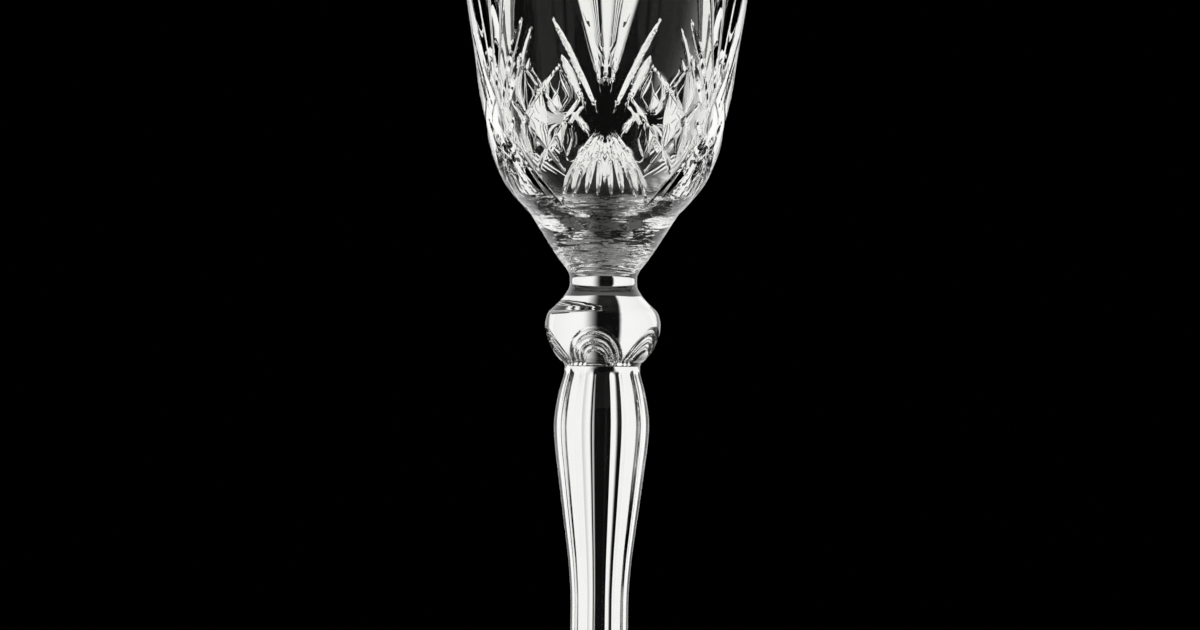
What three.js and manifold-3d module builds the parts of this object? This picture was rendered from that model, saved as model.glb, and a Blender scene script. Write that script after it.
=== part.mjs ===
// A champagne flute in cut crystal: a bowl with a fan and diamond pattern, a baluster knop with shell-cut arches,
// a fluted stem and a domed foot, each a separate gather of glass fused to the next on a flat seam.
// Millimetres, +Z up, the glass's axis on Z and the foot resting on z = 0. Angle 0 faces -Y and grows towards +X.
import * as THREE from "three";
import { mergeVertices } from "three/addons/utils/BufferGeometryUtils.js";
import Module from "manifold-3d";

const wasm = await Module();
wasm.setup();

// ---- Driving dimensions ----

// The pieces stand on each other, seam on seam.
const FOOT_HEIGHT = 8;
const STEM_LENGTH = 94;
const KNOP_HEIGHT = 19.8;
const BOWL_HEIGHT = 103.2;

// Foot: a flat ring to stand on, a hollowed middle, a rounded edge and a dome that rises to the stem.
const FOOT_RADIUS = 31.8;
const FOOT_EDGE = 2.4;
const FOOT_RING_WIDTH = 4;
const FOOT_HOLLOW = 1.6;

// Stem: waisted above the foot, swelling under the knop, with hollow-ground flutes all round.
const STEM_FOOT_RADIUS = 11.2;
const STEM_WAIST_RADIUS = 6.05;
const STEM_WAIST_HEIGHT = 44;
const STEM_SWELL_RADIUS = 9.9;
const STEM_SWELL_DROP = 12;
const STEM_TOP_RADIUS = 7.7;
const STEM_FLUTES = 16;
const FLUTE_DEPTH = 0.3;
const FLUTE_RUN_OUT = 5;

// Knop: a ball with a sharp shoulder and a waisted neck, shells of arched cuts round its lower half.
const KNOP_RADIUS = 11.9;
const KNOP_BELLY_HEIGHT = 8.6;
const KNOP_SHOULDER_HEIGHT = 11.6;
const KNOP_SHOULDER_RADIUS = 11.3;
const KNOP_NECK_RADIUS = 7;
const KNOP_NECK_DROP = 2.5;
const KNOP_SHELLS = 5;
const KNOP_TURN = -9;
const ARCH_RADII = [6.4, 4.8, 3.2];
const ARCH_WIDTH = 1.5;
const ARCH_DEPTH = 0.5;
const ARCH_SPRING_HEIGHT = 1;

// Bowl: a funnel on the seam, a round cup and a nearly straight wall up to the rim.
const BOWL_SEAM_RADIUS = 7.6;
const FUNNEL_HEIGHT = 11.7;
const FUNNEL_RADIUS = 15.6;
const CUP_HEIGHT = 34.8;
const CUP_RADIUS = 25.5;
const RIM_RADIUS = 30.6;
const RIM_WALL = 1.7;
const CUP_WALL = 3.1;
const FLOOR_THICKNESS = 9.2;
const WELL_RADIUS = 10;

// Cut pattern: fans whose rays spring from hubs round the cup, and diamonds between them.
const FANS = 6;
const HUB_HEIGHT = 28;
const PLAIN_BAND = 22;
const RAY_DEPTH = 0.8;
const MIDDLE_RAY_WIDTH = 5;
const SIDE_RAY_WIDTH = 4.4;
const CRESCENT_WIDTH = 2.2;
const LEAF_WIDTH = 2.2;
const PETAL_DEPTH = 0.64;
const PETAL_WIDTH = 1.7;
const BROAD_PETAL_WIDTH = 3;
const BORDER_WIDTH = 2.4;
const LATTICE_DEPTH = 0.55;
const LATTICE_WIDTH = 1.9;

// ---- Heights that follow ----

const STEM_SEAM = FOOT_HEIGHT;
const KNOP_SEAM = STEM_SEAM + STEM_LENGTH;
const BOWL_SEAM = KNOP_SEAM + KNOP_HEIGHT;
const RAY_TOP = BOWL_HEIGHT - PLAIN_BAND;
const SECTOR = 360 / FANS;

// ---- Fineness of the solids ----

const BOWL_FACETS = 48;
const KNOP_FACETS = 32;
const FLUTE_FACETS = 4;
const CUT_STEP_LENGTH = 7;
const LEAST_CUT_STEPS = 2;
const ARCH_STEPS = 5;

// ---- Outlines and turned shapes ----

const point = (radius, height) => new THREE.Vector2(radius, height);

// A smooth outline through points, as evenly spaced points.
const smooth = (points, steps) => new THREE.SplineCurve(points).getSpacedPoints(steps);

// A smooth outline from one ring to another; its shape lists [share of the rise, share of the spread] between them.
function outlineBetween(low, high, shape, steps) {
  const via = shape.map(([rise, spread]) =>
    point(THREE.MathUtils.lerp(low.x, high.x, spread), THREE.MathUtils.lerp(low.y, high.y, rise)),
  );
  return smooth([low, ...via, high], steps);
}

// A corner rounded by a quarter turn about its centre, from one angle to another, in degrees.
function rounded(centre, radius, fromDeg, toDeg, steps) {
  return Array.from({ length: steps + 1 }, (_, i) => {
    const angle = THREE.MathUtils.degToRad(THREE.MathUtils.lerp(fromDeg, toDeg, i / steps));
    return point(centre.x + radius * Math.cos(angle), centre.y + radius * Math.sin(angle));
  });
}

// A solid turned about Z; the outline runs from the axis, outside and back to the axis.
const turned = (outline, facets) => new THREE.LatheGeometry(outline, facets).rotateX(Math.PI / 2);

// The outline's radius at a height, between its points.
function radiusAt(outline, height) {
  const above = outline.findIndex((p) => p.y >= height);
  if (above < 0) return outline.at(-1).x;
  if (above === 0) return outline[0].x;
  const [low, high] = [outline[above - 1], outline[above]];
  return THREE.MathUtils.mapLinear(height, low.y, high.y, low.x, high.x);
}

// ---- Cutting ----

// How wide and deep a cut is along its length: nothing at both tips, full in the middle.
const cutSwell = (t) => (t > 0 && t < 1 ? Math.sin(Math.PI * t) ** 0.7 : 0);

// A cutter's tips and edges ride this far above the wall, so that it never dives under the curve between its steps,
// and its back stands well clear of the glass.
const CUTTER_LIFT = 0.25;
const CUTTER_BACK = 2;

// A cut's direction is taken over this share of its length, before and after each place on it.
const CUT_REACH = 0.05;

// A geometry as a solid: its shared vertices merged, its positions only.
function solid(geometry) {
  const bare = new THREE.BufferGeometry().setAttribute("position", geometry.getAttribute("position"));
  bare.setIndex(geometry.index);
  const merged = mergeVertices(bare, 1e-4);
  return new wasm.Manifold(
    new wasm.Mesh({
      numProp: 3,
      vertProperties: merged.getAttribute("position").array,
      triVerts: new Uint32Array(merged.index.array),
    }),
  );
}

// A solid as a flat-shaded geometry.
function geometryOf(manifold) {
  const mesh = manifold.getMesh();
  const geometry = new THREE.BufferGeometry();
  geometry.setAttribute("position", new THREE.BufferAttribute(mesh.vertProperties, 3));
  geometry.setIndex(new THREE.BufferAttribute(mesh.triVerts, 1));
  const faceted = geometry.toNonIndexed();
  faceted.computeVertexNormals();
  return faceted;
}

// The place on a turned wall at an angle in degrees and a height.
function onWall(wall, angleDeg, height) {
  const angle = THREE.MathUtils.degToRad(angleDeg);
  const radius = radiusAt(wall, height);
  return new THREE.Vector3(radius * Math.sin(angle), -radius * Math.cos(angle), height);
}

// The wall's outward direction there.
function outward(wall, angleDeg, height) {
  const reach = 0.5;
  const up = onWall(wall, angleDeg, height + reach).sub(onWall(wall, angleDeg, height - reach));
  const round = onWall(wall, angleDeg + 1, height).sub(onWall(wall, angleDeg - 1, height));
  return round.cross(up).normalize();
}

// A V-edged cut laid along a path on a wall: a four-sided spindle, widest and deepest where its swell peaks.
// path(t) gives [angle, height] for t from 0 to 1.
function mitreCut(wall, path, width, depth, steps) {
  const swell = Array.from({ length: steps + 1 }, (_, i) => point(cutSwell(i / steps), i / steps));
  const spindle = new THREE.LatheGeometry(swell, 4);
  const at = (t) => onWall(wall, ...path(t));
  const position = spindle.getAttribute("position");
  for (let i = 0; i < position.count; i++) {
    const [across, t, out] = [position.getX(i), position.getY(i), position.getZ(i)];
    const normal = outward(wall, ...path(t));
    const along = at(Math.min(1, t + CUT_REACH)).sub(at(Math.max(0, t - CUT_REACH))).normalize();
    const side = new THREE.Vector3().crossVectors(along, normal);
    const rise = CUTTER_LIFT + out * (out > 0 ? CUTTER_BACK : depth + CUTTER_LIFT);
    const place = at(t).addScaledVector(side, (across * width) / 2).addScaledVector(normal, rise);
    position.setXYZ(i, place.x, place.y, place.z);
  }
  return solid(spindle);
}

const straight = (from, to) => (t) => from.map((value, i) => THREE.MathUtils.lerp(value, to[i], t));

// Path functions turned about the axis, or mirrored about angle 0.
const turnedBy = (path, turn) => (t) => [path(t)[0] + turn, path(t)[1]];
const mirrored = (path) => (t) => [-path(t)[0], path(t)[1]];

// ---- Flutes ----

// How deep a flute is at an angle in radians: its full depth in the middle and nothing on the ridges.
function fluteHollow(angle, depth) {
  const share = (angle * STEM_FLUTES) / (2 * Math.PI);
  const fromMiddle = 2 * Math.abs(share - Math.round(share));
  return depth * (1 - fromMiddle ** 2);
}

// Grinds flutes into a turned shape: depthAt(radius, height) is the flutes' depth there.
function fluted(geometry, depthAt) {
  const position = geometry.getAttribute("position");
  for (let i = 0; i < position.count; i++) {
    const [x, y, height] = [position.getX(i), position.getY(i), position.getZ(i)];
    const radius = Math.hypot(x, y);
    if (radius === 0) continue;
    const hollow = fluteHollow(Math.atan2(x, -y), depthAt(radius, height));
    position.setXYZ(i, x * (1 - hollow / radius), y * (1 - hollow / radius), height);
  }
  geometry.computeVertexNormals();
  return geometry;
}

// ---- Foot ----

function footGeometry() {
  const ringInner = FOOT_RADIUS - FOOT_EDGE / 2 - FOOT_RING_WIDTH;
  const edge = rounded(point(FOOT_RADIUS - FOOT_EDGE / 2, FOOT_EDGE / 2), FOOT_EDGE / 2, -90, 90, 4);
  const domeShape = [
    [0.12, 0.35],
    [0.3, 0.62],
    [0.6, 0.86],
  ];
  const dome = outlineBetween(edge.at(-1), point(STEM_FOOT_RADIUS, FOOT_HEIGHT), domeShape, 7).slice(1);
  const outline = [
    point(0, FOOT_HOLLOW),
    point(ringInner * 0.6, FOOT_HOLLOW * 0.8),
    point(ringInner, 0),
    ...edge,
    ...dome,
    point(0, FOOT_HEIGHT),
  ];
  return turned(outline, STEM_FLUTES * FLUTE_FACETS);
}

// ---- Stem ----

function stemGeometry() {
  const waist = point(STEM_WAIST_RADIUS, STEM_WAIST_HEIGHT);
  const swell = point(STEM_SWELL_RADIUS, STEM_LENGTH - STEM_SWELL_DROP);
  const between = (low, high, rise, spread) =>
    point(THREE.MathUtils.lerp(low.x, high.x, spread), THREE.MathUtils.lerp(low.y, high.y, rise));
  const foot = point(STEM_FOOT_RADIUS, 0);
  const side = smooth(
    [
      foot,
      between(foot, waist, 0.1, 0.42),
      between(foot, waist, 0.32, 0.76),
      between(foot, waist, 0.65, 0.95),
      waist,
      between(waist, swell, 0.27, 0.13),
      between(waist, swell, 0.6, 0.57),
      between(waist, swell, 0.85, 0.91),
      swell,
      point(STEM_TOP_RADIUS, STEM_LENGTH),
    ],
    16,
  );
  const shape = turned([point(0, 0), ...side, point(0, STEM_LENGTH)], STEM_FLUTES * FLUTE_FACETS);
  const runOut = (height) => THREE.MathUtils.smoothstep(Math.min(height, STEM_LENGTH - height), 0, FLUTE_RUN_OUT);
  return fluted(shape, (radius, height) => FLUTE_DEPTH * runOut(height));
}

// ---- Knop ----

function knopGeometry() {
  const neck = point(KNOP_NECK_RADIUS, KNOP_HEIGHT - KNOP_NECK_DROP);
  const shoulder = point(KNOP_SHOULDER_RADIUS, KNOP_SHOULDER_HEIGHT);
  const foot = point(STEM_TOP_RADIUS, 0);
  const belly = point(KNOP_RADIUS, KNOP_BELLY_HEIGHT);
  const bellyShape = [
    [0.1, 0.28],
    [0.4, 0.66],
    [0.7, 0.92],
  ];
  const ball = [...outlineBetween(foot, belly, bellyShape, 6), shoulder];
  const sweep = outlineBetween(shoulder, neck, [[0.4, 0.66], [0.7, 0.92]], 5).slice(1);
  const wall = [...ball, ...sweep, point(BOWL_SEAM_RADIUS, KNOP_HEIGHT)];
  const blank = solid(turned([point(0, 0), ...wall, point(0, KNOP_HEIGHT)], KNOP_FACETS));
  const arch = (size) => (t) => [
    THREE.MathUtils.radToDeg((size * Math.cos(Math.PI * t)) / KNOP_RADIUS),
    ARCH_SPRING_HEIGHT + size * Math.sin(Math.PI * t),
  ];
  const cuts = [];
  for (let shell = 0; shell < KNOP_SHELLS; shell++) {
    const turn = KNOP_TURN + (shell * 360) / KNOP_SHELLS;
    for (const size of ARCH_RADII) {
      cuts.push(mitreCut(wall, turnedBy(arch(size), turn), ARCH_WIDTH, ARCH_DEPTH, ARCH_STEPS));
    }
  }
  return geometryOf(wasm.Manifold.difference([blank, ...cuts]));
}

// ---- Bowl ----

// The bowl's outside, from the seam to just under the rim.
function bowlWall() {
  const seam = point(BOWL_SEAM_RADIUS, 0);
  const step = point(FUNNEL_RADIUS, FUNNEL_HEIGHT);
  const cup = point(CUP_RADIUS, CUP_HEIGHT);
  const lip = point(RIM_RADIUS, BOWL_HEIGHT - RIM_WALL / 2);
  const cupShape = [
    [0.11, 0.25],
    [0.29, 0.52],
    [0.5, 0.73],
    [0.8, 0.93],
  ];
  const wallShape = [
    [0.15, 0.33],
    [0.3, 0.63],
    [0.6, 0.93],
  ];
  return [
    ...outlineBetween(seam, step, [[0.52, 0.53]], 2),
    ...outlineBetween(step, cup, cupShape, 4).slice(1),
    ...outlineBetween(cup, lip, wallShape, 4).slice(1),
  ];
}

// The bowl's inside, from the rim down to the floor of the well.
function bowlHollow(wall) {
  const lipHeight = wall.at(-1).y;
  const upThere = (height) => Math.sqrt(height / lipHeight);
  const thickness = (height) => THREE.MathUtils.mapLinear(upThere(height), upThere(CUP_HEIGHT), 1, CUP_WALL, RIM_WALL);
  const thickest = CUP_WALL * 1.2;
  const cupStart = FUNNEL_HEIGHT + CUP_WALL;
  const side = wall.filter((p) => p.y > cupStart).map((p) => point(p.x - Math.min(thickness(p.y), thickest), p.y));
  const well = outlineBetween(point(0, FLOOR_THICKNESS), side[0], [[0.06, 0.3], [0.35, WELL_RADIUS / side[0].x]], 5);
  return [...well.slice(0, -1), ...side].reverse();
}

// The mitre cuts of one fan and the half diamonds on both sides of it: path, width and depth of each. A tip is
// [angle from the middle of the fan, height over the seam].
function sectorCuts() {
  const halfSector = SECTOR / 2;
  const petalFoot = FUNNEL_HEIGHT + 3.2;
  const middleRay = { path: straight([0, HUB_HEIGHT + 7], [0, RAY_TOP]), width: MIDDLE_RAY_WIDTH, depth: RAY_DEPTH };
  const rays = [
    [[halfSector * 0.1, HUB_HEIGHT + 7.5], [halfSector * 0.46, RAY_TOP - 12], SIDE_RAY_WIDTH, RAY_DEPTH],
    [[halfSector * 0.15, HUB_HEIGHT + 5], [halfSector * 0.71, HUB_HEIGHT + 23.5], CRESCENT_WIDTH, RAY_DEPTH],
    [[halfSector * 0.3, HUB_HEIGHT + 4], [halfSector * 0.68, HUB_HEIGHT + 15.5], LEAF_WIDTH, RAY_DEPTH],
  ];
  const petals = [
    [[halfSector * 0.03, HUB_HEIGHT - 1.5], [halfSector * 0.17, petalFoot], PETAL_WIDTH, PETAL_DEPTH],
    [[halfSector * 0.08, HUB_HEIGHT - 1], [halfSector * 0.7, petalFoot], BROAD_PETAL_WIDTH, RAY_DEPTH],
    [[halfSector * 0.2, HUB_HEIGHT - 0.5], [halfSector, petalFoot - 2], BORDER_WIDTH, RAY_DEPTH],
  ];
  const lattice = [
    [[halfSector * 0.37, HUB_HEIGHT + 6.5], [halfSector * 1.27, HUB_HEIGHT - 8], LATTICE_WIDTH, LATTICE_DEPTH],
    [[halfSector * 0.68, HUB_HEIGHT + 13], [halfSector * 1.65, HUB_HEIGHT + 0.5], LATTICE_WIDTH, LATTICE_DEPTH],
  ];
  const pairs = [...rays, ...petals, ...lattice].flatMap(([from, to, width, depth]) => {
    const path = straight(from, to);
    return [
      { path, width, depth },
      { path: mirrored(path), width, depth },
    ];
  });
  return [middleRay, ...pairs];
}

function bowlGeometry() {
  const wall = bowlWall();
  const lip = rounded(point(RIM_RADIUS - RIM_WALL / 2, BOWL_HEIGHT - RIM_WALL / 2), RIM_WALL / 2, 45, 135, 2);
  const blank = solid(turned([point(0, 0), ...wall, ...lip, ...bowlHollow(wall)], BOWL_FACETS));
  const cuts = [];
  for (let fan = 0; fan < FANS; fan++) {
    for (const { path, width, depth } of sectorCuts()) {
      const length = onWall(wall, ...path(0)).distanceTo(onWall(wall, ...path(1)));
      const steps = Math.max(LEAST_CUT_STEPS, Math.round(length / CUT_STEP_LENGTH));
      cuts.push(mitreCut(wall, turnedBy(path, fan * SECTOR), width, depth, steps));
    }
  }
  return geometryOf(wasm.Manifold.difference([blank, ...cuts]));
}

// ---- The glass ----

function crystal(color, roughness) {
  return new THREE.MeshStandardMaterial({ color, roughness, metalness: 0, transparent: true, opacity: 0.35 });
}

const flute = new THREE.Group();
const pieces = [
  ["foot", footGeometry(), crystal(0xf2f5f6, 0.05), 0],
  ["stem", stemGeometry(), crystal(0xf2f5f6, 0.05), STEM_SEAM],
  ["knop", knopGeometry(), crystal(0xf2f5f6, 0.05), KNOP_SEAM],
  ["bowl", bowlGeometry(), crystal(0xf4f7f8, 0.04), BOWL_SEAM],
];
for (const [name, geometry, material, height] of pieces) {
  const mesh = new THREE.Mesh(geometry, material);
  mesh.name = name;
  mesh.position.z = height;
  flute.add(mesh);
}

export default flute;
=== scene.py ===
"""A champagne flute in cut crystal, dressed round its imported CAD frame.

Four gathers of glass stand fused on one another: foot, stem, knop and bowl. Each is one closed surface
made on a grid of angles round the glass and rings along its outline. The foot stands on z = 0 and the
glass's axis is Z. Angles are in degrees from the front, which faces -Y, and grow towards +X. Sizes are in
millimetres until a mesh is made.
"""

import logging
import math
from dataclasses import dataclass, replace
from enum import Enum
from typing import Optional, Sequence, Union

import bpy
import numpy as np
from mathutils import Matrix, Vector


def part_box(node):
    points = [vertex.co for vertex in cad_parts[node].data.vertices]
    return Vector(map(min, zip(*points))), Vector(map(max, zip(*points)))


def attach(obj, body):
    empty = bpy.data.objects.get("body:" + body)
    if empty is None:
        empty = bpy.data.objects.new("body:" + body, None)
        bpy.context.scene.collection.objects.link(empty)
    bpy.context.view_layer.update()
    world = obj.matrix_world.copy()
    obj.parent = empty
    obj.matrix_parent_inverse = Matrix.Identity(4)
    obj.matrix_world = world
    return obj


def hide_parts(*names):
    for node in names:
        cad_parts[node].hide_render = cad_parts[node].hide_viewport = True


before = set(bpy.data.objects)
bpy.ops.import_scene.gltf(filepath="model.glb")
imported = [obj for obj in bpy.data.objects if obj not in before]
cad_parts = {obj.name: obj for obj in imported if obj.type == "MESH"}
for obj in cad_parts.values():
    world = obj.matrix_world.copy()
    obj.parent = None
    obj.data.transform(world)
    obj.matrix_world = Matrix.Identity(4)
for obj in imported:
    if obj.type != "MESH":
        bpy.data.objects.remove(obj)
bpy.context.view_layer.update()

MM = 0.001
TINY = 1e-6
WHITE = (1.0, 1.0, 1.0, 1.0)
BLACK = (0.0, 0.0, 0.0, 1.0)
LOG = logging.getLogger("champagne_flute")

Point = tuple[float, float]


# -------------------------------------------------------------------------------------------------
# Outlines
# -------------------------------------------------------------------------------------------------


def smooth_through(knots: np.ndarray, at: np.ndarray) -> np.ndarray:
    """A smooth value at each place, through knots of place and value.

    Between two knots the value is a cubic that leaves and arrives at the slope of the line through the
    neighbours, held down to three times the flatter of the two spans beside a knot, so that it never
    overshoots.

    Args:
        knots: Rows of place and value, with rising places.
        at: The places asked for.

    Returns:
        The values there.
    """
    place, value = knots[:, 0], knots[:, 1]
    span = np.diff(place)
    rise = np.diff(value) / span
    slope = np.concatenate([rise[:1], (value[2:] - value[:-2]) / (place[2:] - place[:-2]), rise[-1:]])
    flattest = np.minimum(np.abs(rise[1:]), np.abs(rise[:-1]))
    turning = rise[1:] * rise[:-1] <= 0
    inner = np.sign(slope[1:-1]) * np.minimum(np.abs(slope[1:-1]), 3 * flattest)
    slope[1:-1] = np.where(turning, 0.0, inner)
    i = np.clip(np.searchsorted(place, at) - 1, 0, len(span) - 1)
    t = (at - place[i]) / span[i]
    low, high = value[i], value[i + 1]
    start, end = slope[i] * span[i], slope[i + 1] * span[i]
    values = low * (1 + 2 * t) * (1 - t) ** 2 + high * t**2 * (3 - 2 * t)
    slopes = start * t * (1 - t) ** 2 - end * t**2 * (1 - t)
    return values + slopes


def along_path(path: np.ndarray, count: int) -> np.ndarray:
    """Evenly spaced points along a path of radius and height, its own length being what is shared out.

    Args:
        path: Rows of radius and height.
        count: How many points to give.

    Returns:
        Rows of radius and height.
    """
    steps = np.hypot(*np.diff(path, axis=0).T)
    travelled = np.concatenate([[0.0], np.cumsum(steps)])
    places = np.linspace(0, travelled[-1], count)
    return np.stack([np.interp(places, travelled, path[:, k]) for k in (0, 1)], axis=1)


def rings_along(outline: Sequence[Point], start: float, end: float, count: int, samples: int) -> np.ndarray:
    """Evenly spaced rings along a smooth outline.

    Args:
        outline: Knots of height and radius.
        start: Height of the first ring.
        end: Height of the last ring.
        count: How many rings to give.
        samples: How many places the outline is worked out at before its length is shared out.

    Returns:
        Rows of radius and height.
    """
    heights = np.linspace(start, end, samples)
    return along_path(np.stack([smooth_through(np.array(outline), heights), heights], axis=1), count)


def arc(centre: Point, radius: float, start: float, end: float, count: int) -> np.ndarray:
    """Points on an arc: centre plus radius times the cosine and sine of an angle from start to end.

    Args:
        centre: Radius and height of the arc's middle.
        radius: The arc's own radius.
        start: First angle in degrees, 0 being outwards and 90 upwards.
        end: Last angle in degrees.
        count: How many points to give.

    Returns:
        Rows of radius and height.
    """
    turn = np.radians(np.linspace(start, end, count))
    return np.stack([centre[0] + radius * np.cos(turn), centre[1] + radius * np.sin(turn)], axis=1)


def ease(value: np.ndarray, start: float, end: float) -> np.ndarray:
    """Nothing before start, one after end, and 3t^2 - 2t^3 between them."""
    t = np.clip((value - start) / (end - start), 0, 1)
    return t * t * (3 - 2 * t)


# -------------------------------------------------------------------------------------------------
# Surfaces
# -------------------------------------------------------------------------------------------------


class Face(Enum):
    """What a face of a gather is, as the material slot it takes."""

    GLASS = 0
    SEAM = 1


@dataclass
class RingSurface:
    """A closed surface over rings round the axis, with a point on the axis at each end.

    Attributes:
        angle: Angle of every vertex in degrees, rings by columns.
        radius: Its distance from the axis.
        height: Its height.
        poles: Heights of the first and last point, on the axis.
        seams: Which of the two end discs are fused to the next gather.
        other_diagonal: True where a square of the grid is cut from its right foot to its left head.
    """

    angle: np.ndarray
    radius: np.ndarray
    height: np.ndarray
    poles: Point
    seams: tuple[bool, bool]
    other_diagonal: Optional[np.ndarray] = None

    def vertices(self) -> np.ndarray:
        """Every vertex: (r sin a, -r cos a, h), the two poles last.

        Returns:
            Rows of x, y and z in metres.
        """
        turn = np.radians(self.angle)
        rings = np.stack([self.radius * np.sin(turn), -self.radius * np.cos(turn), self.height], axis=-1)
        ends = np.array([[0.0, 0.0, self.poles[0]], [0.0, 0.0, self.poles[1]]])
        return np.concatenate([rings.reshape(-1, 3), ends]) * MM

    def triangles(self) -> tuple[np.ndarray, np.ndarray]:
        """Two triangles to each square of the grid and a fan at each pole, facing outwards.

        Returns:
            The triangles' corners, and the slot of each.
        """
        rings, columns = self.angle.shape
        index = np.arange(rings * columns).reshape(rings, columns)
        low, high = index[:-1], index[1:]
        low_next, high_next = np.roll(low, -1, axis=1), np.roll(high, -1, axis=1)
        other = self.other_diagonal if self.other_diagonal is not None else np.zeros(low.shape, bool)
        first = np.stack([low, low_next, np.where(other, high, high_next)], -1)
        second = np.stack([np.where(other, low_next, low), high_next, high], -1)
        start, end = rings * columns, rings * columns + 1
        foot, head = index[0], index[-1]
        foot_fan = np.stack([np.full(columns, start), np.roll(foot, -1), foot], -1)
        head_fan = np.stack([np.full(columns, end), head, np.roll(head, -1)], -1)
        parts = [first.reshape(-1, 3), second.reshape(-1, 3), foot_fan, head_fan]
        faces = [Face.GLASS, Face.GLASS] + [Face.SEAM if fused else Face.GLASS for fused in self.seams]
        kinds = np.concatenate([np.full(len(part), face.value) for part, face in zip(parts, faces)])
        return np.concatenate(parts), kinds

    def build(self, name: str, sharp_from: float) -> bpy.types.Object:
        """Makes the mesh and its object, shaded smooth but for edges turned by more than sharp_from degrees.

        Args:
            name: The piece's name.
            sharp_from: The least angle of a sharp edge, in degrees.

        Returns:
            The new object, at the origin.
        """
        points = self.vertices()
        corners, kinds = self.triangles()
        mesh = bpy.data.meshes.new(name)
        mesh.vertices.add(len(points))
        mesh.vertices.foreach_set("co", points.ravel())
        mesh.loops.add(corners.size)
        mesh.loops.foreach_set("vertex_index", corners.ravel())
        mesh.polygons.add(len(corners))
        mesh.polygons.foreach_set("loop_start", np.arange(0, corners.size, 3))
        mesh.polygons.foreach_set("material_index", kinds)
        mesh.update(calc_edges=True)
        mesh.validate()
        mesh.shade_smooth()
        mesh.set_sharp_from_angle(angle=math.radians(sharp_from))
        piece = bpy.data.objects.new(name, mesh)
        bpy.context.scene.collection.objects.link(piece)
        return piece


def even_angles(rings: int, columns: int) -> np.ndarray:
    """The same evenly spaced angles on every ring, in degrees."""
    return np.tile(np.arange(columns) * (360.0 / columns), (rings, 1))


def outward_normals(path: np.ndarray) -> np.ndarray:
    """The direction square to an outline that runs up its outside.

    Args:
        path: Rows of radius and height.

    Returns:
        Rows of its outward and upward shares.
    """
    along = np.gradient(path, axis=0)
    square = np.stack([along[:, 1], -along[:, 0]], axis=1)
    return square / np.linalg.norm(square, axis=1, keepdims=True)


def cut_into(wall: np.ndarray, normal: np.ndarray, depth: np.ndarray) -> tuple[np.ndarray, np.ndarray]:
    """The rings of a wall, each place moved in along its ring's normal by the depth there.

    Args:
        wall: Rows of radius and height.
        normal: The outward direction at each.
        depth: Depths, rings by columns.

    Returns:
        Radii and heights, rings by columns.
    """
    return wall[:, :1] - depth * normal[:, :1], wall[:, 1:] - depth * normal[:, 1:]


# -------------------------------------------------------------------------------------------------
# Shader nodes
# -------------------------------------------------------------------------------------------------


class Value:
    """A number or vector that a shader works out: adding to it or multiplying it adds a Math node."""

    def __init__(self, tree: "Tree", socket: bpy.types.NodeSocket) -> None:
        """Wraps a socket of a tree."""
        self.tree = tree
        self.socket = socket

    def _math(self, operation: str, *terms: object) -> "Value":
        """A Math node on some terms."""
        return self.tree.node("ShaderNodeMath", {"operation": operation}, *terms)

    def __add__(self, other: object) -> "Value":
        """self + other."""
        return self._math("ADD", self, other)

    __radd__ = __add__

    def __mul__(self, other: object) -> "Value":
        """self * other."""
        return self._math("MULTIPLY", self, other)

    __rmul__ = __mul__

    def between(self, start: float, end: float, low: float = 0.0, high: float = 1.0) -> "Value":
        """Smoothly from low at start to high at end, and level outside them."""
        settings = {"interpolation_type": "SMOOTHSTEP"}
        return self.tree.node("ShaderNodeMapRange", settings, self, start, end, low, high)


class Tree:
    """A node tree that is being written."""

    def __init__(self, owner: Union[bpy.types.Material, bpy.types.World]) -> None:
        """Turns on an owner's nodes and empties its tree.

        Args:
            owner: A material or a world.
        """
        owner.use_nodes = True
        self.nodes = owner.node_tree.nodes
        self.links = owner.node_tree.links
        self.nodes.clear()

    def node(self, kind: str, settings: Optional[dict] = None, *values: object, **named: object) -> Value:
        """Adds a node, sets it up and feeds its sockets.

        Args:
            kind: The node's type.
            settings: Its own settings, set before its sockets.
            values: Numbers, colours or links for its first sockets, in order; None leaves one alone.
            named: The same for sockets by name, an underscore standing for a space.

        Returns:
            Its first output, or for an output node the socket it was fed.
        """
        made = self.nodes.new(kind)
        for key, setting in (settings or {}).items():
            setattr(made, key, setting)
        pairs = [(made.inputs[i], value) for i, value in enumerate(values)]
        pairs += [(made.inputs[name.replace("_", " ")], value) for name, value in named.items()]
        for socket, value in pairs:
            if isinstance(value, Value):
                self.links.new(value.socket, socket)
            elif value is not None:
                socket.default_value = value
        return Value(self, made.outputs[0]) if made.outputs else Value(self, made.inputs[0])

    def output(self, value: Value, name: str) -> Value:
        """Another output of the node that made a value."""
        return Value(self, value.socket.node.outputs[name])

    def axes(self, vector: Value) -> tuple[Value, Value, Value]:
        """A vector's three numbers."""
        split = self.node("ShaderNodeSeparateXYZ", None, vector)
        return split, self.output(split, "Y"), self.output(split, "Z")


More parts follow.
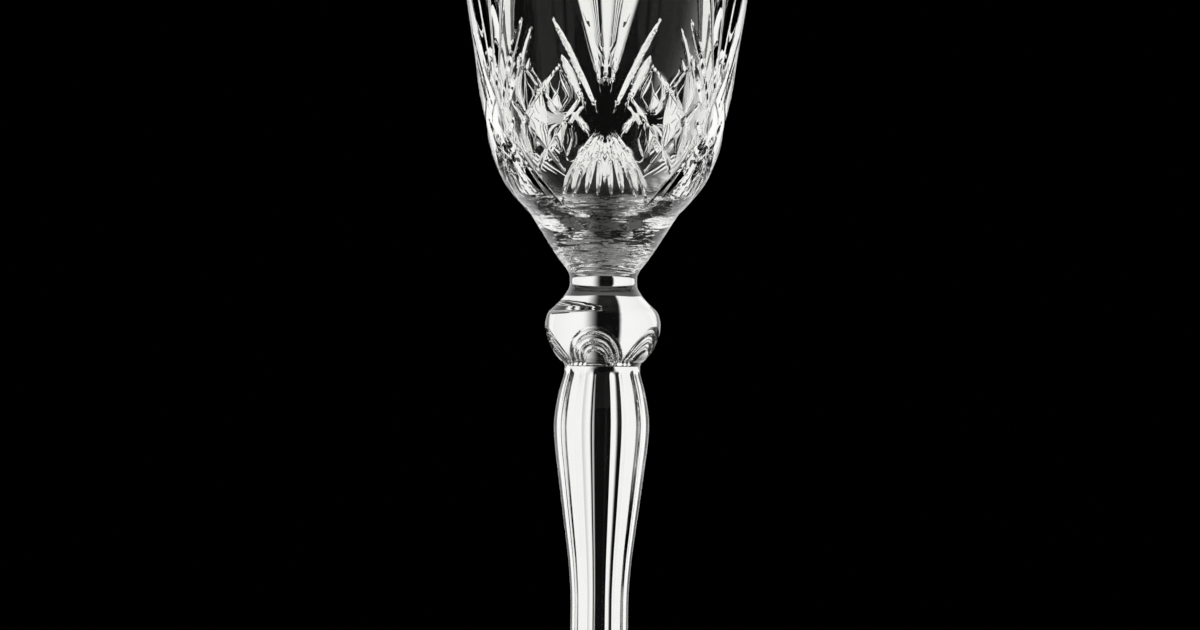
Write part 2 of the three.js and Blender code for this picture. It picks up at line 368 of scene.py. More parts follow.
@dataclass(frozen=True)
class Crystal:
    """Clear polished crystal, with the faint waves that a mould and a fire polish leave.

    Attributes:
        name: The material's name.
        color: Its tint, which light takes on as it passes through.
        ior: How strongly it bends light.
        polish: Roughness of the best polished glass.
        haze: How much rougher its dullest spots are.
        haze_size: Size of the clouds of haze, in millimetres.
        haze_share: Levels of the clouds' noise between which the haze comes up.
        wave_size: Distance between its waves, in millimetres.
        wave_depth: Their height, in millimetres.
        wrinkles: Heights between which chill wrinkles run round the glass, in millimetres, or None.
        wrinkle_size: The wrinkles' length round the glass and their width up it, in millimetres.
        wrinkle_depth: Their height, in millimetres.
        wrinkle_fade: How far either side of those two heights they fade, in millimetres.
    """

    name: str
    color: tuple[float, float, float, float] = (0.988, 0.99, 0.972, 1.0)
    ior: float = 1.53
    polish: float = 0.004
    haze: float = 0.02
    haze_size: float = 1000 / 180
    haze_share: Point = (0.5, 0.75)
    wave_size: float = 4.0
    wave_depth: float = 0.006
    wrinkles: Optional[Point] = None
    wrinkle_size: Point = (1000 / 260, 1000 / 1200)
    wrinkle_depth: float = 0.28
    wrinkle_fade: float = 1.5

    def build(self) -> bpy.types.Material:
        """Makes the material: noise for haze and waves, and stretched noise for the chill wrinkles.

        Returns:
            The material.
        """
        material = bpy.data.materials.new(self.name)
        tree = Tree(material)
        place = tree.output(tree.node("ShaderNodeTexCoord"), "Object")
        haze_scale = 1 / (self.haze_size * MM)
        cloud = tree.node("ShaderNodeTexNoise", None, Vector=place, Scale=haze_scale, Detail=3.0)
        roughness = cloud.between(*self.haze_share, self.polish, self.polish + self.haze)
        wave_scale = 1 / (self.wave_size * MM)
        waves = tree.node("ShaderNodeTexNoise", None, Vector=place, Scale=wave_scale, Detail=1.0)
        relief = waves * (self.wave_depth * MM)
        if self.wrinkles is not None:
            relief = relief + self._wrinkles(tree, place)
        normal = tree.node("ShaderNodeBump", None, Strength=1.0, Distance=1.0, Height=relief)
        glass = tree.node(
            "ShaderNodeBsdfPrincipled",
            None,
            Base_Color=self.color,
            Roughness=roughness,
            IOR=self.ior,
            Transmission_Weight=1.0,
            Normal=normal,
        )
        tree.node("ShaderNodeOutputMaterial", None, glass)
        return material

    def _wrinkles(self, tree: Tree, place: Value) -> Value:
        """Noise drawn out round the glass, only between the wrinkles' heights.

        Args:
            tree: The material's tree.
            place: Object coordinates.

        Returns:
            Their relief, in metres.
        """
        low, high = (height * MM for height in self.wrinkles)
        _, _, height = tree.axes(place)
        across, upwards = (1 / (size * MM) for size in self.wrinkle_size)
        drawn_out = tree.node("ShaderNodeMapping", None, place, Scale=(across, across, upwards))
        noise = tree.node("ShaderNodeTexNoise", None, Vector=drawn_out, Scale=1.0, Detail=1.5)
        fade = self.wrinkle_fade * MM
        over_low = height.between(low - fade, low + fade)
        under_high = height.between(high - fade, high + fade, 1.0, 0.0)
        return noise * (over_low * under_high) * (self.wrinkle_depth * MM)


@dataclass(frozen=True)
class FusedSeam:
    """The face where two gathers have run together: light passes it unbent."""

    name: str = "fused_seam"

    def build(self) -> bpy.types.Material:
        """Makes the material: nothing but what lies behind it.

        Returns:
            The material.
        """
        material = bpy.data.materials.new(self.name)
        tree = Tree(material)
        tree.node("ShaderNodeOutputMaterial", None, tree.node("ShaderNodeBsdfTransparent"))
        return material


# -------------------------------------------------------------------------------------------------
# The gathers
# -------------------------------------------------------------------------------------------------


def level(node: str, top: bool) -> float:
    """The height of a CAD node's foot or top, in millimetres."""
    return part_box(node)[1 if top else 0].z / MM


def dress(piece: bpy.types.Object, node: str, finish: Crystal, seam: FusedSeam) -> None:
    """Gives a gather its two materials and its place in the frame.

    Args:
        piece: The gather.
        node: The CAD node it stands for.
        finish: Its glass.
        seam: Its fused ends.
    """
    piece.data.materials.append(finish.build())
    piece.data.materials.append(bpy.data.materials.get(seam.name) or seam.build())
    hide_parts(node)
    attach(piece, "root")
    LOG.info("%s: %d triangles", piece.name, len(piece.data.polygons))


@dataclass(frozen=True)
class Cut:
    """A V-edged cut on the bowl, from its lower tip to its upper one.

    Attributes:
        low: Angle and height of the lower tip.
        high: Angle and height of the upper tip.
        half_width: Half its width where it is widest.
        depth: Its depth there.
        widest: The share of its length at which it is widest.
        low_end: How blunt its lower end is: 1 runs out to a point, and less is rounder.
        high_end: The same for its upper end.
        flank: How its flanks round over at the edge.
    """

    low: Point
    high: Point
    half_width: float
    depth: float
    widest: float = 0.5
    low_end: float = 1.0
    high_end: float = 1.0
    flank: float = 1.4

    def mirrored(self) -> "Cut":
        """The same cut on the other side of the fan's middle."""
        low, high = (-self.low[0], self.low[1]), (-self.high[0], self.high[1])
        return replace(self, low=low, high=high)

    def depth_at(self, angle: np.ndarray, height: np.ndarray, radius: np.ndarray) -> np.ndarray:
        """How deep the cut is at places on the wall.

        The swell is the sine of a quarter turn from the lower tip to the widest place, and the cosine of
        one from there to the upper tip, each raised to how blunt that end is. From depth times swell on the
        cut's line, the depth falls to nothing at half_width times swell beside it, as what is left of the
        way raised to the flank's power: 1 gives flat flanks, and more rounds them over at the edge.

        Args:
            angle: Degrees from the fan's middle.
            height: Heights above the table.
            radius: The wall's radius there.

        Returns:
            Depths, nothing outside the cut.
        """
        run = (height - self.low[1]) / (self.high[1] - self.low[1])
        share = np.clip(run, 0, 1)
        rising = np.sin(np.pi / 2 * np.clip(share / self.widest, 0, 1)) ** self.low_end
        onward = np.clip((share - self.widest) / (1 - self.widest), 0, 1)
        falling = np.cos(np.pi / 2 * onward) ** self.high_end
        swell = np.where((run > 0) & (run < 1), rising * falling, 0.0)
        middle = self.low[0] + share * (self.high[0] - self.low[0])
        across = np.radians(angle - middle) * radius
        lean = np.radians(self.high[0] - self.low[0]) * radius / (self.high[1] - self.low[1])
        beside = np.abs(across) / np.sqrt(1 + lean**2)
        left = np.clip(1 - beside / np.maximum(self.half_width * swell, TINY), 0, None)
        return self.depth * swell * left**self.flank


@dataclass
class Bowl:
    """The bowl: a funnel on the knop, a cup cut with fans and diamonds, and a plain wall up to the rim.

    Attributes:
        fans: How many fans stand round the cup.
        hub: Height of the fans' middles.
        funnel: Height of the plain funnel, up to the ring that the lower cuts start from.
        lip: Thickness of the rim.
        lip_arc: Angles that the lip's rounding starts and ends at, 90 being its top.
        floor: Height of the bottom of the hollow.
        last_ring: How far over the floor the hollow's last ring is.
        cut_part: Heights of the close rings: the first one's, and how far over the hub the last one is.
        rings: Rings on the funnel, the cut part, the plain wall over it, the lip and the hollow.
        columns: Grid columns to a fan.
        fineness: Samples to a column when creases are looked for.
        crease: Least change of slope from sample to sample that counts as a crease.
        samples: How many places the hollow's outline is worked out at.
        sharp_from: The least angle of a sharp edge, in degrees.
        outside: Knots of height and radius.
        inside: The same for the hollow.
    """

    fans: int = 6
    hub: float = 149.8
    funnel: float = 12.0
    lip: float = 1.7
    lip_arc: Point = (20.0, 160.0)
    floor: float = 131.0
    last_ring: float = 0.02
    cut_part: Point = (132.6, 59.0)
    rings: tuple[int, ...] = (14, 174, 7, 6, 29)
    columns: int = 72
    fineness: int = 24
    crease: float = 0.12
    samples: int = 2000
    sharp_from: float = 14.0
    outside: Sequence[Point] = (
        (121.8, 7.6),
        (123.8, 9.2),
        (127.9, 11.9),
        (132.0, 14.45),
        (133.1, 15.2),
        (133.5, 15.55),
        (133.9, 16.0),
        (136.1, 18.0),
        (138.2, 19.7),
        (140.2, 21.0),
        (144.3, 22.8),
        (148.4, 24.1),
        (152.5, 25.0),
        (160.7, 26.3),
        (166.9, 27.2),
        (177.1, 28.8),
        (190.0, 29.9),
        (205.0, 30.5),
        (224.1, 30.6),
    )
    inside: Sequence[Point] = (
        (131.0, 0.0),
        (131.1, 2.6),
        (131.7, 4.4),
        (132.8, 6.4),
        (134.0, 8.4),
        (135.2, 10.4),
        (136.5, 12.4),
        (138.0, 14.4),
        (139.8, 16.3),
        (141.9, 18.0),
        (145.3, 19.9),
        (151.0, 21.6),
        (160.7, 23.3),
        (177.1, 26.2),
        (190.0, 27.7),
        (205.0, 28.6),
        (224.1, 28.9),
    )

    @property
    def sector(self) -> float:
        """Degrees from one fan to the next."""
        return 360 / self.fans

    def cuts(self) -> list[Cut]:
        """The cuts of one fan and of the half lattice on each side of it.

        Returns:
            The cuts.
        """
        hub, edge = self.hub, self.sector / 2
        low_ring = level("bowl", False) + self.funnel
        rays = [
            Cut((2.2, hub + 8), (17, hub + 47), 2.3, 0.95, 0.72, 1.0, 0.6),
            Cut((3.6, hub + 4), (22.8, hub + 22.3), 0.65, 0.4, 0.7, 0.7, 0.6),
            Cut((8.6, hub + 3.5), (19.5, hub + 15), 0.95, 0.55, 0.72, 1.8, 0.8),
        ]
        petals = [
            Cut((4.0, low_ring + 3), (0.5, hub - 0.3), 0.6, 0.4, 0.4, 0.4, 1.0),
            Cut((11.0, low_ring + 3.3), (1.4, hub - 0.5), 0.7, 0.45, 0.4, 0.4, 1.0),
            Cut((20.0, low_ring + 2.6), (2.4, hub - 0.3), 1.1, 0.65, 0.45, 0.6, 1.0),
            Cut((edge, low_ring + 0.6), (4.2, hub - 0.2), 0.65, 0.4, 0.45, 0.5, 0.9),
        ]
        lattice = [
            Cut((22, hub - 8.5), (49, hub + 6.5), 0.6, 0.35, 0.5, 0.3, 0.3),
            Cut((19.5, hub + 2.3), (39.5, hub + 12.8), 0.6, 0.35, 0.5, 0.3, 0.3),
        ]
        diamonds = [
            Cut((21.0, hub + 3), (21.5, hub + 13), 2.9, 0.3, 0.45, 1.3, 1.3, flank=0.5),
            Cut((20.5, hub - 6.2), (19.5, hub + 3.4), 1.9, 0.22, 0.5, 1.2, 1.2, flank=0.4),
        ]
        nicks = [
            Cut((7.5, hub - 1.2), (12.5, hub + 2.6), 0.8, 0.4, 0.5, 1.0, 1.0),
            Cut((14.0, hub - 5.4), (7.5, hub - 2.4), 0.7, 0.3, 0.5, 1.0, 1.0),
        ]
        middle = [
            Cut((0, hub + 9), (0, hub + 58), 2.6, 1.0, 0.62, 1.0, 0.8),
            Cut((0, low_ring + 5), (0, hub - 0.5), 0.6, 0.35, 0.5, 0.6, 0.8),
            Cut((edge, hub - 4.4), (edge, hub + 8), 4.9, 1.5, 0.52, 1.5, 1.5, flank=1.0),
        ]
        side = rays + petals + lattice + diamonds + nicks
        return middle + side + [cut.mirrored() for cut in side]

    def relief(self, angle: np.ndarray, height: np.ndarray, radius: np.ndarray) -> np.ndarray:
        """The depth of the deepest cut at each place, counting the fans on both sides.

        Args:
            angle: Degrees from the fan's middle.
            height: Heights above the table.
            radius: The wall's radius there.

        Returns:
            Depths.
        """
        depths = np.zeros(np.broadcast(angle, height).shape)
        for cut in self.cuts():
            for turn in (-self.sector, 0.0, self.sector):
                depths = np.maximum(depths, cut.depth_at(angle - turn, height, radius))
        return depths

    def snapped(self, height: np.ndarray, radius: np.ndarray) -> np.ndarray:
        """Angles of one fan's columns, the nearest moved onto each crease that a ring crosses.

        A crease is where the relief's slope round the ring changes most, found on a fine row of samples.

        Args:
            height: The rings' heights.
            radius: The wall's radius at each.

        Returns:
            Angles in degrees, rings by columns.
        """
        sector = self.sector
        step = sector / self.columns
        samples = self.columns * self.fineness
        fine = (np.arange(samples) - samples // 2) * (sector / samples)
        depth = self.relief(fine[None, :], height[:, None], radius[:, None])
        bend = np.abs(np.roll(depth, 1, axis=1) - 2 * depth + np.roll(depth, -1, axis=1))
        width = radius[:, None] * math.radians(sector / samples)
        highest = (bend >= np.roll(bend, 1, axis=1)) & (bend > np.roll(bend, -1, axis=1))
        ring, sample = np.nonzero(highest & (bend > self.crease * width))
        order = np.argsort(bend[ring, sample])
        ring, sample = ring[order], sample[order]
        column = np.round((fine[sample] + sector / 2) / step).astype(int) % self.columns
        angles = np.tile(np.arange(self.columns) * step - sector / 2, (len(height), 1))
        wanted = fine[sample]
        angles[ring, column] = np.where(wanted - angles[ring, column] > step, wanted - sector, wanted)
        return angles

    def wall(self) -> np.ndarray:
        """The outside's rings: some on the funnel, most on the cut part, and a few on the plain wall.

        Returns:
            Rows of radius and height.
        """
        seam, rim = level("bowl", False), level("bowl", True)
        funnel, cut, plain = self.rings[:3]
        low, high = self.cut_part[0], self.hub + self.cut_part[1]
        heights = np.concatenate(
            [
                np.linspace(seam, low, funnel, endpoint=False),
                np.linspace(low, high, cut),
                np.linspace(high, rim - self.lip / 2, plain + 1)[1:],
            ]
        )
        return np.stack([smooth_through(np.array(self.outside), heights), heights], axis=1)

    def lining(self) -> np.ndarray:
        """The lip's rings and the hollow's, down to just over its floor.

        Returns:
            Rows of radius and height.
        """
        lip_rings, hollow_rings = self.rings[3:]
        middle, half = level("bowl", True) - self.lip / 2, self.lip / 2
        lip = arc((self.outside[-1][1] - half, middle), half, *self.lip_arc, lip_rings)
        low = self.floor + self.last_ring
        hollow = rings_along(self.inside, middle, low, hollow_rings, self.samples)
        return np.concatenate([lip, hollow])

    def surface(self) -> RingSurface:
        """The whole bowl: up its outside, over the lip, and down its inside to the floor of the hollow.

        Returns:
            The surface.
        """
        wall, lining = self.wall(), self.lining()
        snapped = self.snapped(wall[:, 1], wall[:, 0])
        turns = np.arange(self.fans) * self.sector
        angle = (turns[None, :, None] + snapped[:, None, :]).reshape(len(wall), -1)
        depth = np.tile(self.relief(snapped, wall[:, 1:], wall[:, :1]), (1, self.fans))
        radius, height = cut_into(wall, outward_normals(wall), depth)
        columns = self.columns * self.fans
        radius = np.concatenate([radius, np.repeat(lining[:, :1], columns, axis=1)])
        height = np.concatenate([height, np.repeat(lining[:, 1:], columns, axis=1)])
        angle = np.concatenate([angle, np.tile(angle[-1], (len(lining), 1))])
        other = np.zeros((len(angle) - 1, columns), bool)
        other[: len(wall) - 1] = np.tile(self.diagonals(snapped, wall), (1, self.fans))
        return RingSurface(angle, radius, height, (level("bowl", False), self.floor), (True, False), other)

    def diagonals(self, snapped: np.ndarray, wall: np.ndarray) -> np.ndarray:
        """Which way to cut each square of one fan's grid, so that its edge follows the crease across it.

        The relief in the middle of a square is compared with the mean of each pair of opposite corners,
        and the diagonal joins the pair that comes closer.

        Args:
            snapped: Angles of one fan's columns on the outside.
            wall: Rows of radius and height of the outside's rings.

        Returns:
            True where the diagonal runs from the right foot to the left head.
        """
        onward = np.concatenate([snapped, snapped[:, :1] + self.sector], axis=1)
        depth = self.relief(onward, wall[:, 1:], wall[:, :1])
        angle = (onward[:-1, :-1] + onward[:-1, 1:] + onward[1:, :-1] + onward[1:, 1:]) / 4
        between = (wall[:-1] + wall[1:]) / 2
        middle = self.relief(angle, between[:, 1:], between[:, :1])
        rising = np.abs((depth[:-1, :-1] + depth[1:, 1:]) / 2 - middle)
        falling = np.abs((depth[:-1, 1:] + depth[1:, :-1]) / 2 - middle)
        return falling < rising

    def build(self, finish: Crystal, seam: FusedSeam) -> bpy.types.Object:
        """Makes and dresses the bowl.

        Args:
            finish: Its glass.
            seam: What its fused face is.

        Returns:
            The bowl.
        """
        piece = self.surface().build("crystal_bowl", self.sharp_from)
        dress(piece, "bowl", finish, seam)
        return piece


@dataclass
class Knop:
    """The knop: a ball with a sharp shoulder under a waisted neck, its lower half pressed with shells.

    Attributes:
        shells: How many shells stand round it.
        turn: Angle of the first shell's middle.
        arches: Heights of the shells' ridges over the crease under the knop.
        narrowing: How much taller an arch is than half its width.
        arch_depth: Depth of the hollow between two ridges.
        shell_start: Distances over the crease between which the hollows come in.
        columns: Grid columns.
        rows: Grid rings.
        samples: How many places the outline is worked out at.
        sharp_from: The least angle of a sharp edge, in degrees.
        outside: Knots of height and radius.
    """

    shells: int = 5
    turn: float = -9.0
    arches: tuple[float, ...] = (3.2, 4.9, 6.6, 8.2)
    narrowing: float = 1.25
    arch_depth: float = 0.75
    shell_start: Point = (0.1, 0.9)
    columns: int = 288
    rows: int = 150
    samples: int = 600
    sharp_from: float = 24.0
    outside: Sequence[Point] = (
        (102.0, 7.7),
        (102.7, 8.1),
        (103.3, 8.9),
        (104.6, 9.9),
        (105.8, 10.6),
        (107.0, 11.15),
        (108.2, 11.55),
        (109.5, 11.78),
        (110.5, 11.85),
        (111.9, 11.65),
        (113.1, 11.2),
        (113.8, 10.6),
        (114.5, 9.85),
        (115.6, 8.7),
        (116.4, 8.05),
        (117.0, 7.65),
        (117.6, 7.26),
        (118.2, 7.0),
        (119.3, 6.88),
        (120.4, 6.94),
        (121.0, 7.15),
        (121.4, 7.37),
        (121.8, 7.6),
    )

    def relief(self, angle: np.ndarray, height: np.ndarray, radius: np.ndarray) -> np.ndarray:
        """The depth of the shells' hollows.

        Between two ridges it is arch_depth times one minus the square of how far off mid-way a place is.

        Args:
            angle: Degrees from the front.
            height: Heights above the table.
            radius: The wall's radius there.

        Returns:
            Depths.
        """
        seam = level("knop", False)
        between = 360 / self.shells
        off = (angle - self.turn + between / 2) % between - between / 2
        belly = max(value for _, value in self.outside)
        reach = np.hypot(np.radians(off) * (radius + belly) / 2 * self.narrowing, height - seam)
        ridges = np.array(self.arches)
        band = np.clip(np.searchsorted(ridges, reach) - 1, 0, len(ridges) - 2)
        middle = (ridges[band] + ridges[band + 1]) / 2
        half = (ridges[band + 1] - ridges[band]) / 2
        hollow = np.clip(1 - ((reach - middle) / half) ** 2, 0, None)
        return self.arch_depth * hollow * ease(height, *(seam + start for start in self.shell_start))

    def surface(self) -> RingSurface:
        """The knop from its crease to its neck, the shells pressed into it.

        Returns:
            The surface.
        """
        seam, top = level("knop", False), level("knop", True)
        wall = rings_along(self.outside, seam, top, self.rows, self.samples)
        angle = even_angles(self.rows, self.columns)
        depth = self.relief(angle, wall[:, 1:], wall[:, :1])
        radius, height = cut_into(wall, outward_normals(wall), depth)
        return RingSurface(angle, radius, height, (seam, top), (True, True))

    def build(self, finish: Crystal, seam: FusedSeam) -> bpy.types.Object:
        """Makes and dresses the knop.

        Args:
            finish: Its glass.
            seam: What its fused faces are.

        Returns:
            The knop.
        """
        piece = self.surface().build("crystal_knop", self.sharp_from)
        dress(piece, "knop", finish, seam)
        return piece


@dataclass
class Flutes:
    """Hollow-ground flutes down the stem and out over the foot.

    Attributes:
        count: How many there are.
        columns: Grid columns to a flute.
        hollowness: Their depth, over what a flat facet would have.
        turn: Angle of the middle of the flute in front.
        ridge: How narrowly their ridges are rounded over.
        top: Height at which they end under the knop.
        start: Distances under the top between which they come in.
        foot_part: Height under which they fade outwards.
        run_out: Radii between which they do.
    """

    count: int = 16
    columns: int = 28
    hollowness: float = 1.2
    turn: float = -1.5
    ridge: float = 9.0
    top: float = 102.0
    start: Point = (0.2, 1.8)
    foot_part: float = 12.0
    run_out: Point = (11.0, 24.0)

    def hollow(self, angle: np.ndarray) -> np.ndarray:
        """One in the middle of a flute and nothing on the ridges.

        It is one minus s squared, where s is how far off the middle a place is, from 0 to 1, less a share
        of that raised to the ridges' power, which rounds the ridges over.

        Args:
            angle: Degrees from the front.

        Returns:
            Shares of the flutes' depth.
        """
        share = (angle - self.turn) * self.count / 360
        off = 2 * np.abs(share - np.round(share))
        power = self.ridge
        return 1 - ((off - off**power / power) / (1 - 1 / power)) ** 2

    def relief(self, angle: np.ndarray, height: np.ndarray, radius: np.ndarray) -> np.ndarray:
        """Their depth on the stem and foot.

        Args:
            angle: Degrees from the front.
            height: Heights above the table.
            radius: The wall's radius there.

        Returns:
            Depths.
        """
        at_top = ease(self.top - height, *self.start)
        on_foot = np.where(height < self.foot_part, 1 - ease(radius, *self.run_out), 1.0)
        facet = radius * (1 - math.cos(math.pi / self.count))
        return self.hollowness * facet * self.hollow(angle) * at_top * on_foot


@dataclass
class Stem:
    """The stem: a baluster, waisted above the foot and swelling under the knop.

    Attributes:
        rows: Grid rings.
        samples: How many places the outline is worked out at.
        sharp_from: The least angle of a sharp edge, in degrees.
        outside: Knots of height and radius.
    """

    rows: int = 170
    samples: int = 800
    sharp_from: float = 14.0
    outside: Sequence[Point] = (
        (8.0, 11.2),
        (9.2, 10.1),
        (12.5, 8.9),
        (18.0, 7.8),
        (26.0, 6.95),
        (36.0, 6.3),
        (46.0, 6.0),
        (52.0, 5.95),
        (56.2, 6.05),
        (62.3, 6.56),
        (68.0, 7.3),
        (74.6, 8.2),
        (80.8, 9.0),
        (86.0, 9.65),
        (90.0, 9.87),
        (93.1, 9.6),
        (97.2, 8.8),
        (100.2, 7.95),
        (102.0, 7.7),
    )

    def build(self, flutes: Flutes, finish: Crystal, seam: FusedSeam) -> bpy.types.Object:
        """Makes and dresses the stem.

        Args:
            flutes: The flutes ground into it.
            finish: Its glass.
            seam: What its fused faces are.

        Returns:
            The stem.
        """
        low, top = level("stem", False), level("stem", True)
        wall = rings_along(self.outside, low, top, self.rows, self.samples)
        angle = even_angles(self.rows, flutes.count * flutes.columns)
        depth = flutes.relief(angle, wall[:, 1:], wall[:, :1])
        radius = wall[:, :1] - depth
        height = np.repeat(wall[:, 1:], angle.shape[1], axis=1)
        surface = RingSurface(angle, radius, height, (low, top), (True, True))
        piece = surface.build("crystal_stem", self.sharp_from)
        dress(piece, "stem", finish, seam)
        return piece


@dataclass
class Foot:
    """The foot: a dome running out to a rounded edge, hollowed underneath inside the ring it stands on.

    Attributes:
        edge: Thickness at the rim.
        ring: Inner radius of the ring that it rests on.
        hollow: Height of the hollow's middle.
        first_ring: The innermost ring's share of the hollow's radius.
        rings: Grid rings in the hollow, round the edge and on the dome.
        samples: How many places the dome is worked out at.
        sharp_from: The least angle of a sharp edge, in degrees.
        dome: Knots of radius and height.
    """

    edge: float = 2.4
    ring: float = 26.6
    hollow: float = 1.6
    first_ring: float = 0.02
    rings: tuple[int, int, int] = (12, 20, 80)
    samples: int = 400
    sharp_from: float = 14.0
    dome: Sequence[Point] = (
        (11.2, 8.0),
        (12.0, 7.3),
        (14.0, 6.1),
        (17.0, 5.0),
        (21.0, 3.95),
        (26.0, 3.0),
        (30.6, 2.4),
    )

    def wall(self) -> np.ndarray:
        """The rings from the middle of the hollow out to the edge, round it, and in over the dome.

        Returns:
            Rows of radius and height.
        """
        low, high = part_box("foot")
        hollow_rings, edge_rings, dome_rings = self.rings
        half = self.edge / 2
        edge_middle = high.x / MM - half
        out = np.linspace(self.first_ring, 1, hollow_rings)[:, None]
        under = np.concatenate([out * self.ring, self.hollow * (1 - out**2)], axis=1)
        edge = arc((edge_middle, half), half, -90, 90, edge_rings)
        radii = np.linspace(edge_middle, self.dome[0][0], self.samples)
        dome = np.stack([radii, smooth_through(np.array(self.dome), radii)], axis=1)
        wall = np.concatenate([under, edge, along_path(dome, dome_rings)[1:]])
        wall[:, 1] += low.z / MM
        return wall

    def build(self, flutes: Flutes, finish: Crystal, seam: FusedSeam) -> bpy.types.Object:
        """Makes and dresses the foot.

        Args:
            flutes: The flutes that run out over it.
            finish: Its glass.
            seam: What its fused face is.

        Returns:
            The foot.
        """
        wall, top = self.wall(), level("foot", True)
        angle = even_angles(len(wall), flutes.count * flutes.columns)
        on_dome = (np.arange(len(wall)) >= sum(self.rings[:2]))[:, None]
        depth = np.where(on_dome, flutes.relief(angle, wall[:, 1:], wall[:, :1]), 0.0)
        normal = outward_normals(wall)
        normal[-1] = (1.0, 0.0)
        radius, height = cut_into(wall, normal, depth)
        height[-1] = top
        surface = RingSurface(angle, radius, height, (self.hollow, top), (False, True))
        piece = surface.build("crystal_foot", self.sharp_from)
        dress(piece, "foot", finish, seam)
        return piece


# -------------------------------------------------------------------------------------------------
# Studio
# -------------------------------------------------------------------------------------------------


@dataclass(frozen=True)
class Panel:
    """A soft-edged panel of light, as seen from the glass.

    Attributes:
        start: Where it starts, in degrees from straight behind the glass towards +X.
        end: Where it ends.
        low: How far up its lower edge is, in degrees.
        high: How far up its upper edge is.
        light: How bright it is.
        fade: How far it takes to come up to that from its start.
        soft: How far it takes to die away at its end.
        soft_ends: Height of its soft lower and upper edges.
    """

    start: float
    end: float
    low: float
    high: float
    light: float
    fade: float = 3.0
    soft: float = 6.0
    soft_ends: float = 18.0

    def light_from(self, round_about: Value, up: Value) -> Value:
        """Its light from a direction.

        Args:
            round_about: The direction's degrees from straight behind the glass towards +X.
            up: Its degrees above the level.

        Returns:
            The light.
        """
        way = math.copysign(1.0, self.end - self.start)
        begun = round_about.between(self.start, self.start + way * self.fade)
        ending = round_about.between(self.end - way * self.soft, self.end, 1.0, 0.0)
        over_low = up.between(self.low, self.low + self.soft_ends)
        under_high = up.between(self.high - self.soft_ends, self.high, 1.0, 0.0)
        return (begun * ending) * (over_low * under_high) * self.light


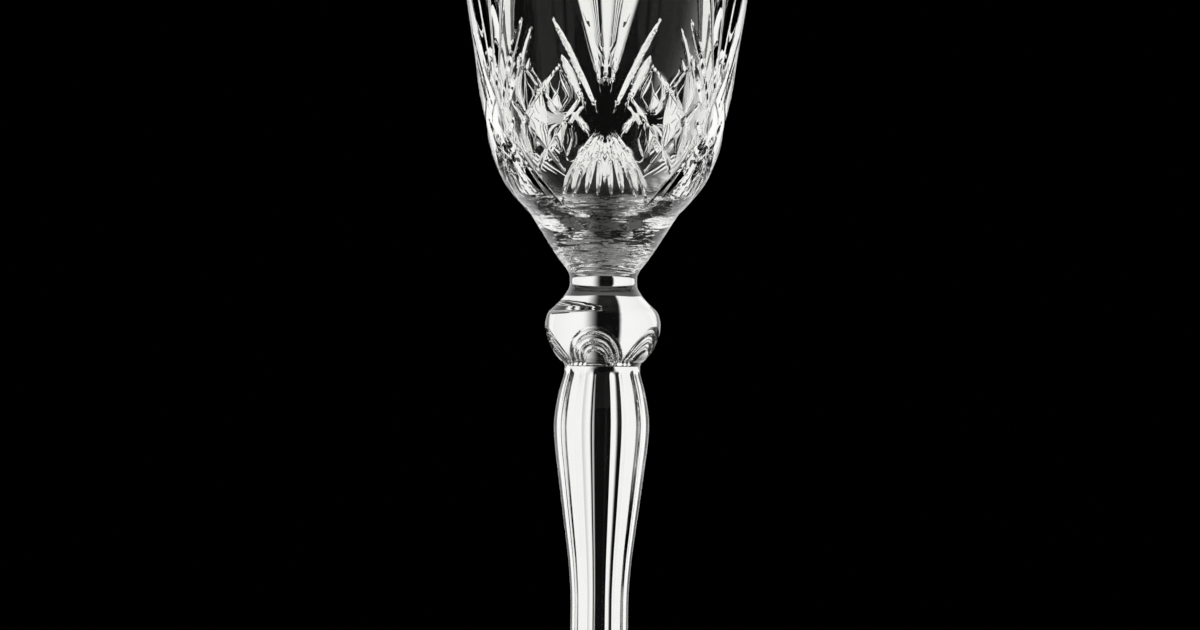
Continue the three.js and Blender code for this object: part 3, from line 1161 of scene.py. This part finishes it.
@dataclass
class Studio:
    """A dark room with soft panels of light, a pale table top and a level camera.

    Two bright tall panels stand left and right behind the glass, two dim ones left and right in front of
    it, and a dim one hangs overhead.

    Attributes:
        frame_width: Width of what the camera sees at the glass.
        eye_height: Height of the camera.
        distance: From the camera to the glass's axis.
        aside: How far the camera stands to the left of the axis.
        lean: The camera's roll in degrees.
        sensor_width: Width of the camera's sensor in its own millimetres.
        clip: The nearest and farthest that the camera sees, in metres.
        table_radius: Radius of the table top.
        table_drop: How far under the foot the table top lies.
        table_step: Degrees from corner to corner of the table top.
        table_colour: The table top's colour.
        table_roughness: How matt it is.
        panels: The panels of light.
        room_light: What little light comes from everywhere else.
        bounces: How many times light is followed through the glass.
    """

    frame_width: float = 246.0
    eye_height: float = 112.5
    distance: float = 1200.0
    aside: float = 0.6
    lean: float = 0.69
    sensor_width: float = 36.0
    clip: Point = (0.01, 50.0)
    table_radius: float = 200.0
    table_drop: float = 0.02
    table_step: int = 3
    table_colour: tuple[float, float, float, float] = (0.6, 0.6, 0.59, 1.0)
    table_roughness: float = 0.6
    panels: Sequence[Panel] = (
        Panel(3, 65, -50, 40, 1.0, 12),
        Panel(-11, -65, -50, 40, 1.0),
        Panel(105, 150, -15, 50, 0.2),
        Panel(-105, -150, -15, 50, 0.2),
        Panel(-178, 178, 52, 110, 0.25),
    )
    room_light: float = 0.004
    bounces: int = 24

    def camera(self) -> None:
        """A level camera with a long lens, facing +Y."""
        data = bpy.data.cameras.new("camera")
        data.sensor_width = self.sensor_width
        data.lens = self.sensor_width * self.distance / self.frame_width
        data.clip_start, data.clip_end = self.clip
        camera = bpy.data.objects.new("camera", data)
        camera.location = (-self.aside * MM, -self.distance * MM, self.eye_height * MM)
        camera.rotation_euler = (math.radians(90), math.radians(-self.lean), 0)
        bpy.context.scene.collection.objects.link(camera)
        bpy.context.scene.camera = camera

    def table(self) -> None:
        """A round pale table top, a hair under the foot."""
        turns = np.radians(np.arange(0, 360, self.table_step))
        ring = np.stack([np.sin(turns), -np.cos(turns), np.zeros(len(turns))], axis=1)
        ring *= self.table_radius * MM
        ring[:, 2] = -self.table_drop * MM
        mesh = bpy.data.meshes.new("table_top")
        mesh.from_pydata(ring.tolist(), [], [list(range(len(ring)))])
        table = bpy.data.objects.new("table_top", mesh)
        bpy.context.scene.collection.objects.link(table)
        material = bpy.data.materials.new("pale_table")
        tree = Tree(material)
        look = {"Base_Color": self.table_colour, "Roughness": self.table_roughness}
        paint = tree.node("ShaderNodeBsdfPrincipled", None, **look)
        tree.node("ShaderNodeOutputMaterial", None, paint)
        mesh.materials.append(material)

    def room(self) -> None:
        """The room: the panels by direction, dark everywhere else, and black to the camera itself."""
        world = bpy.data.worlds.new("dark_field")
        bpy.context.scene.world = world
        tree = Tree(world)
        x, y, z = tree.axes(tree.node("ShaderNodeTexCoord"))
        round_about = tree.node("ShaderNodeMath", {"operation": "ARCTAN2"}, x, y) * math.degrees(1)
        up = tree.node("ShaderNodeMath", {"operation": "ARCSINE"}, z) * math.degrees(1)
        light = self.room_light
        for panel in self.panels:
            light = panel.light_from(round_about, up) + light
        seen = tree.output(tree.node("ShaderNodeLightPath"), "Is Camera Ray")
        room = tree.node("ShaderNodeBackground", None, WHITE, light)
        dark = tree.node("ShaderNodeBackground", None, BLACK, 1.0)
        mixed = tree.node("ShaderNodeMixShader", None, seen, room, dark)
        tree.node("ShaderNodeOutputWorld", None, mixed)

    def build(self) -> None:
        """Sets up the camera, the table, the room and how the picture is developed."""
        self.camera()
        self.table()
        self.room()
        scene = bpy.context.scene
        scene.view_settings.view_transform = "Standard"
        scene.cycles.max_bounces = self.bounces
        scene.cycles.transmission_bounces = self.bounces
        scene.cycles.transparent_max_bounces = self.bounces
        scene.cycles.caustics_refractive = True


def main() -> None:
    """Builds the studio and the four gathers of glass."""
    logging.basicConfig(level=logging.INFO, format="%(name)s: %(message)s")
    Studio().build()
    seam = FusedSeam()
    flutes = Flutes()
    stem_glass = Crystal("stem_glass")
    Foot().build(flutes, Crystal("foot_glass"), seam)
    Stem().build(flutes, stem_glass, seam)
    Knop().build(Crystal("knop_glass", wave_size=3.0, wave_depth=0.035), seam)
    Bowl().build(Crystal("bowl_glass", wrinkles=(123.0, 135.5)), seam)


if __name__ == "__main__":
    main()
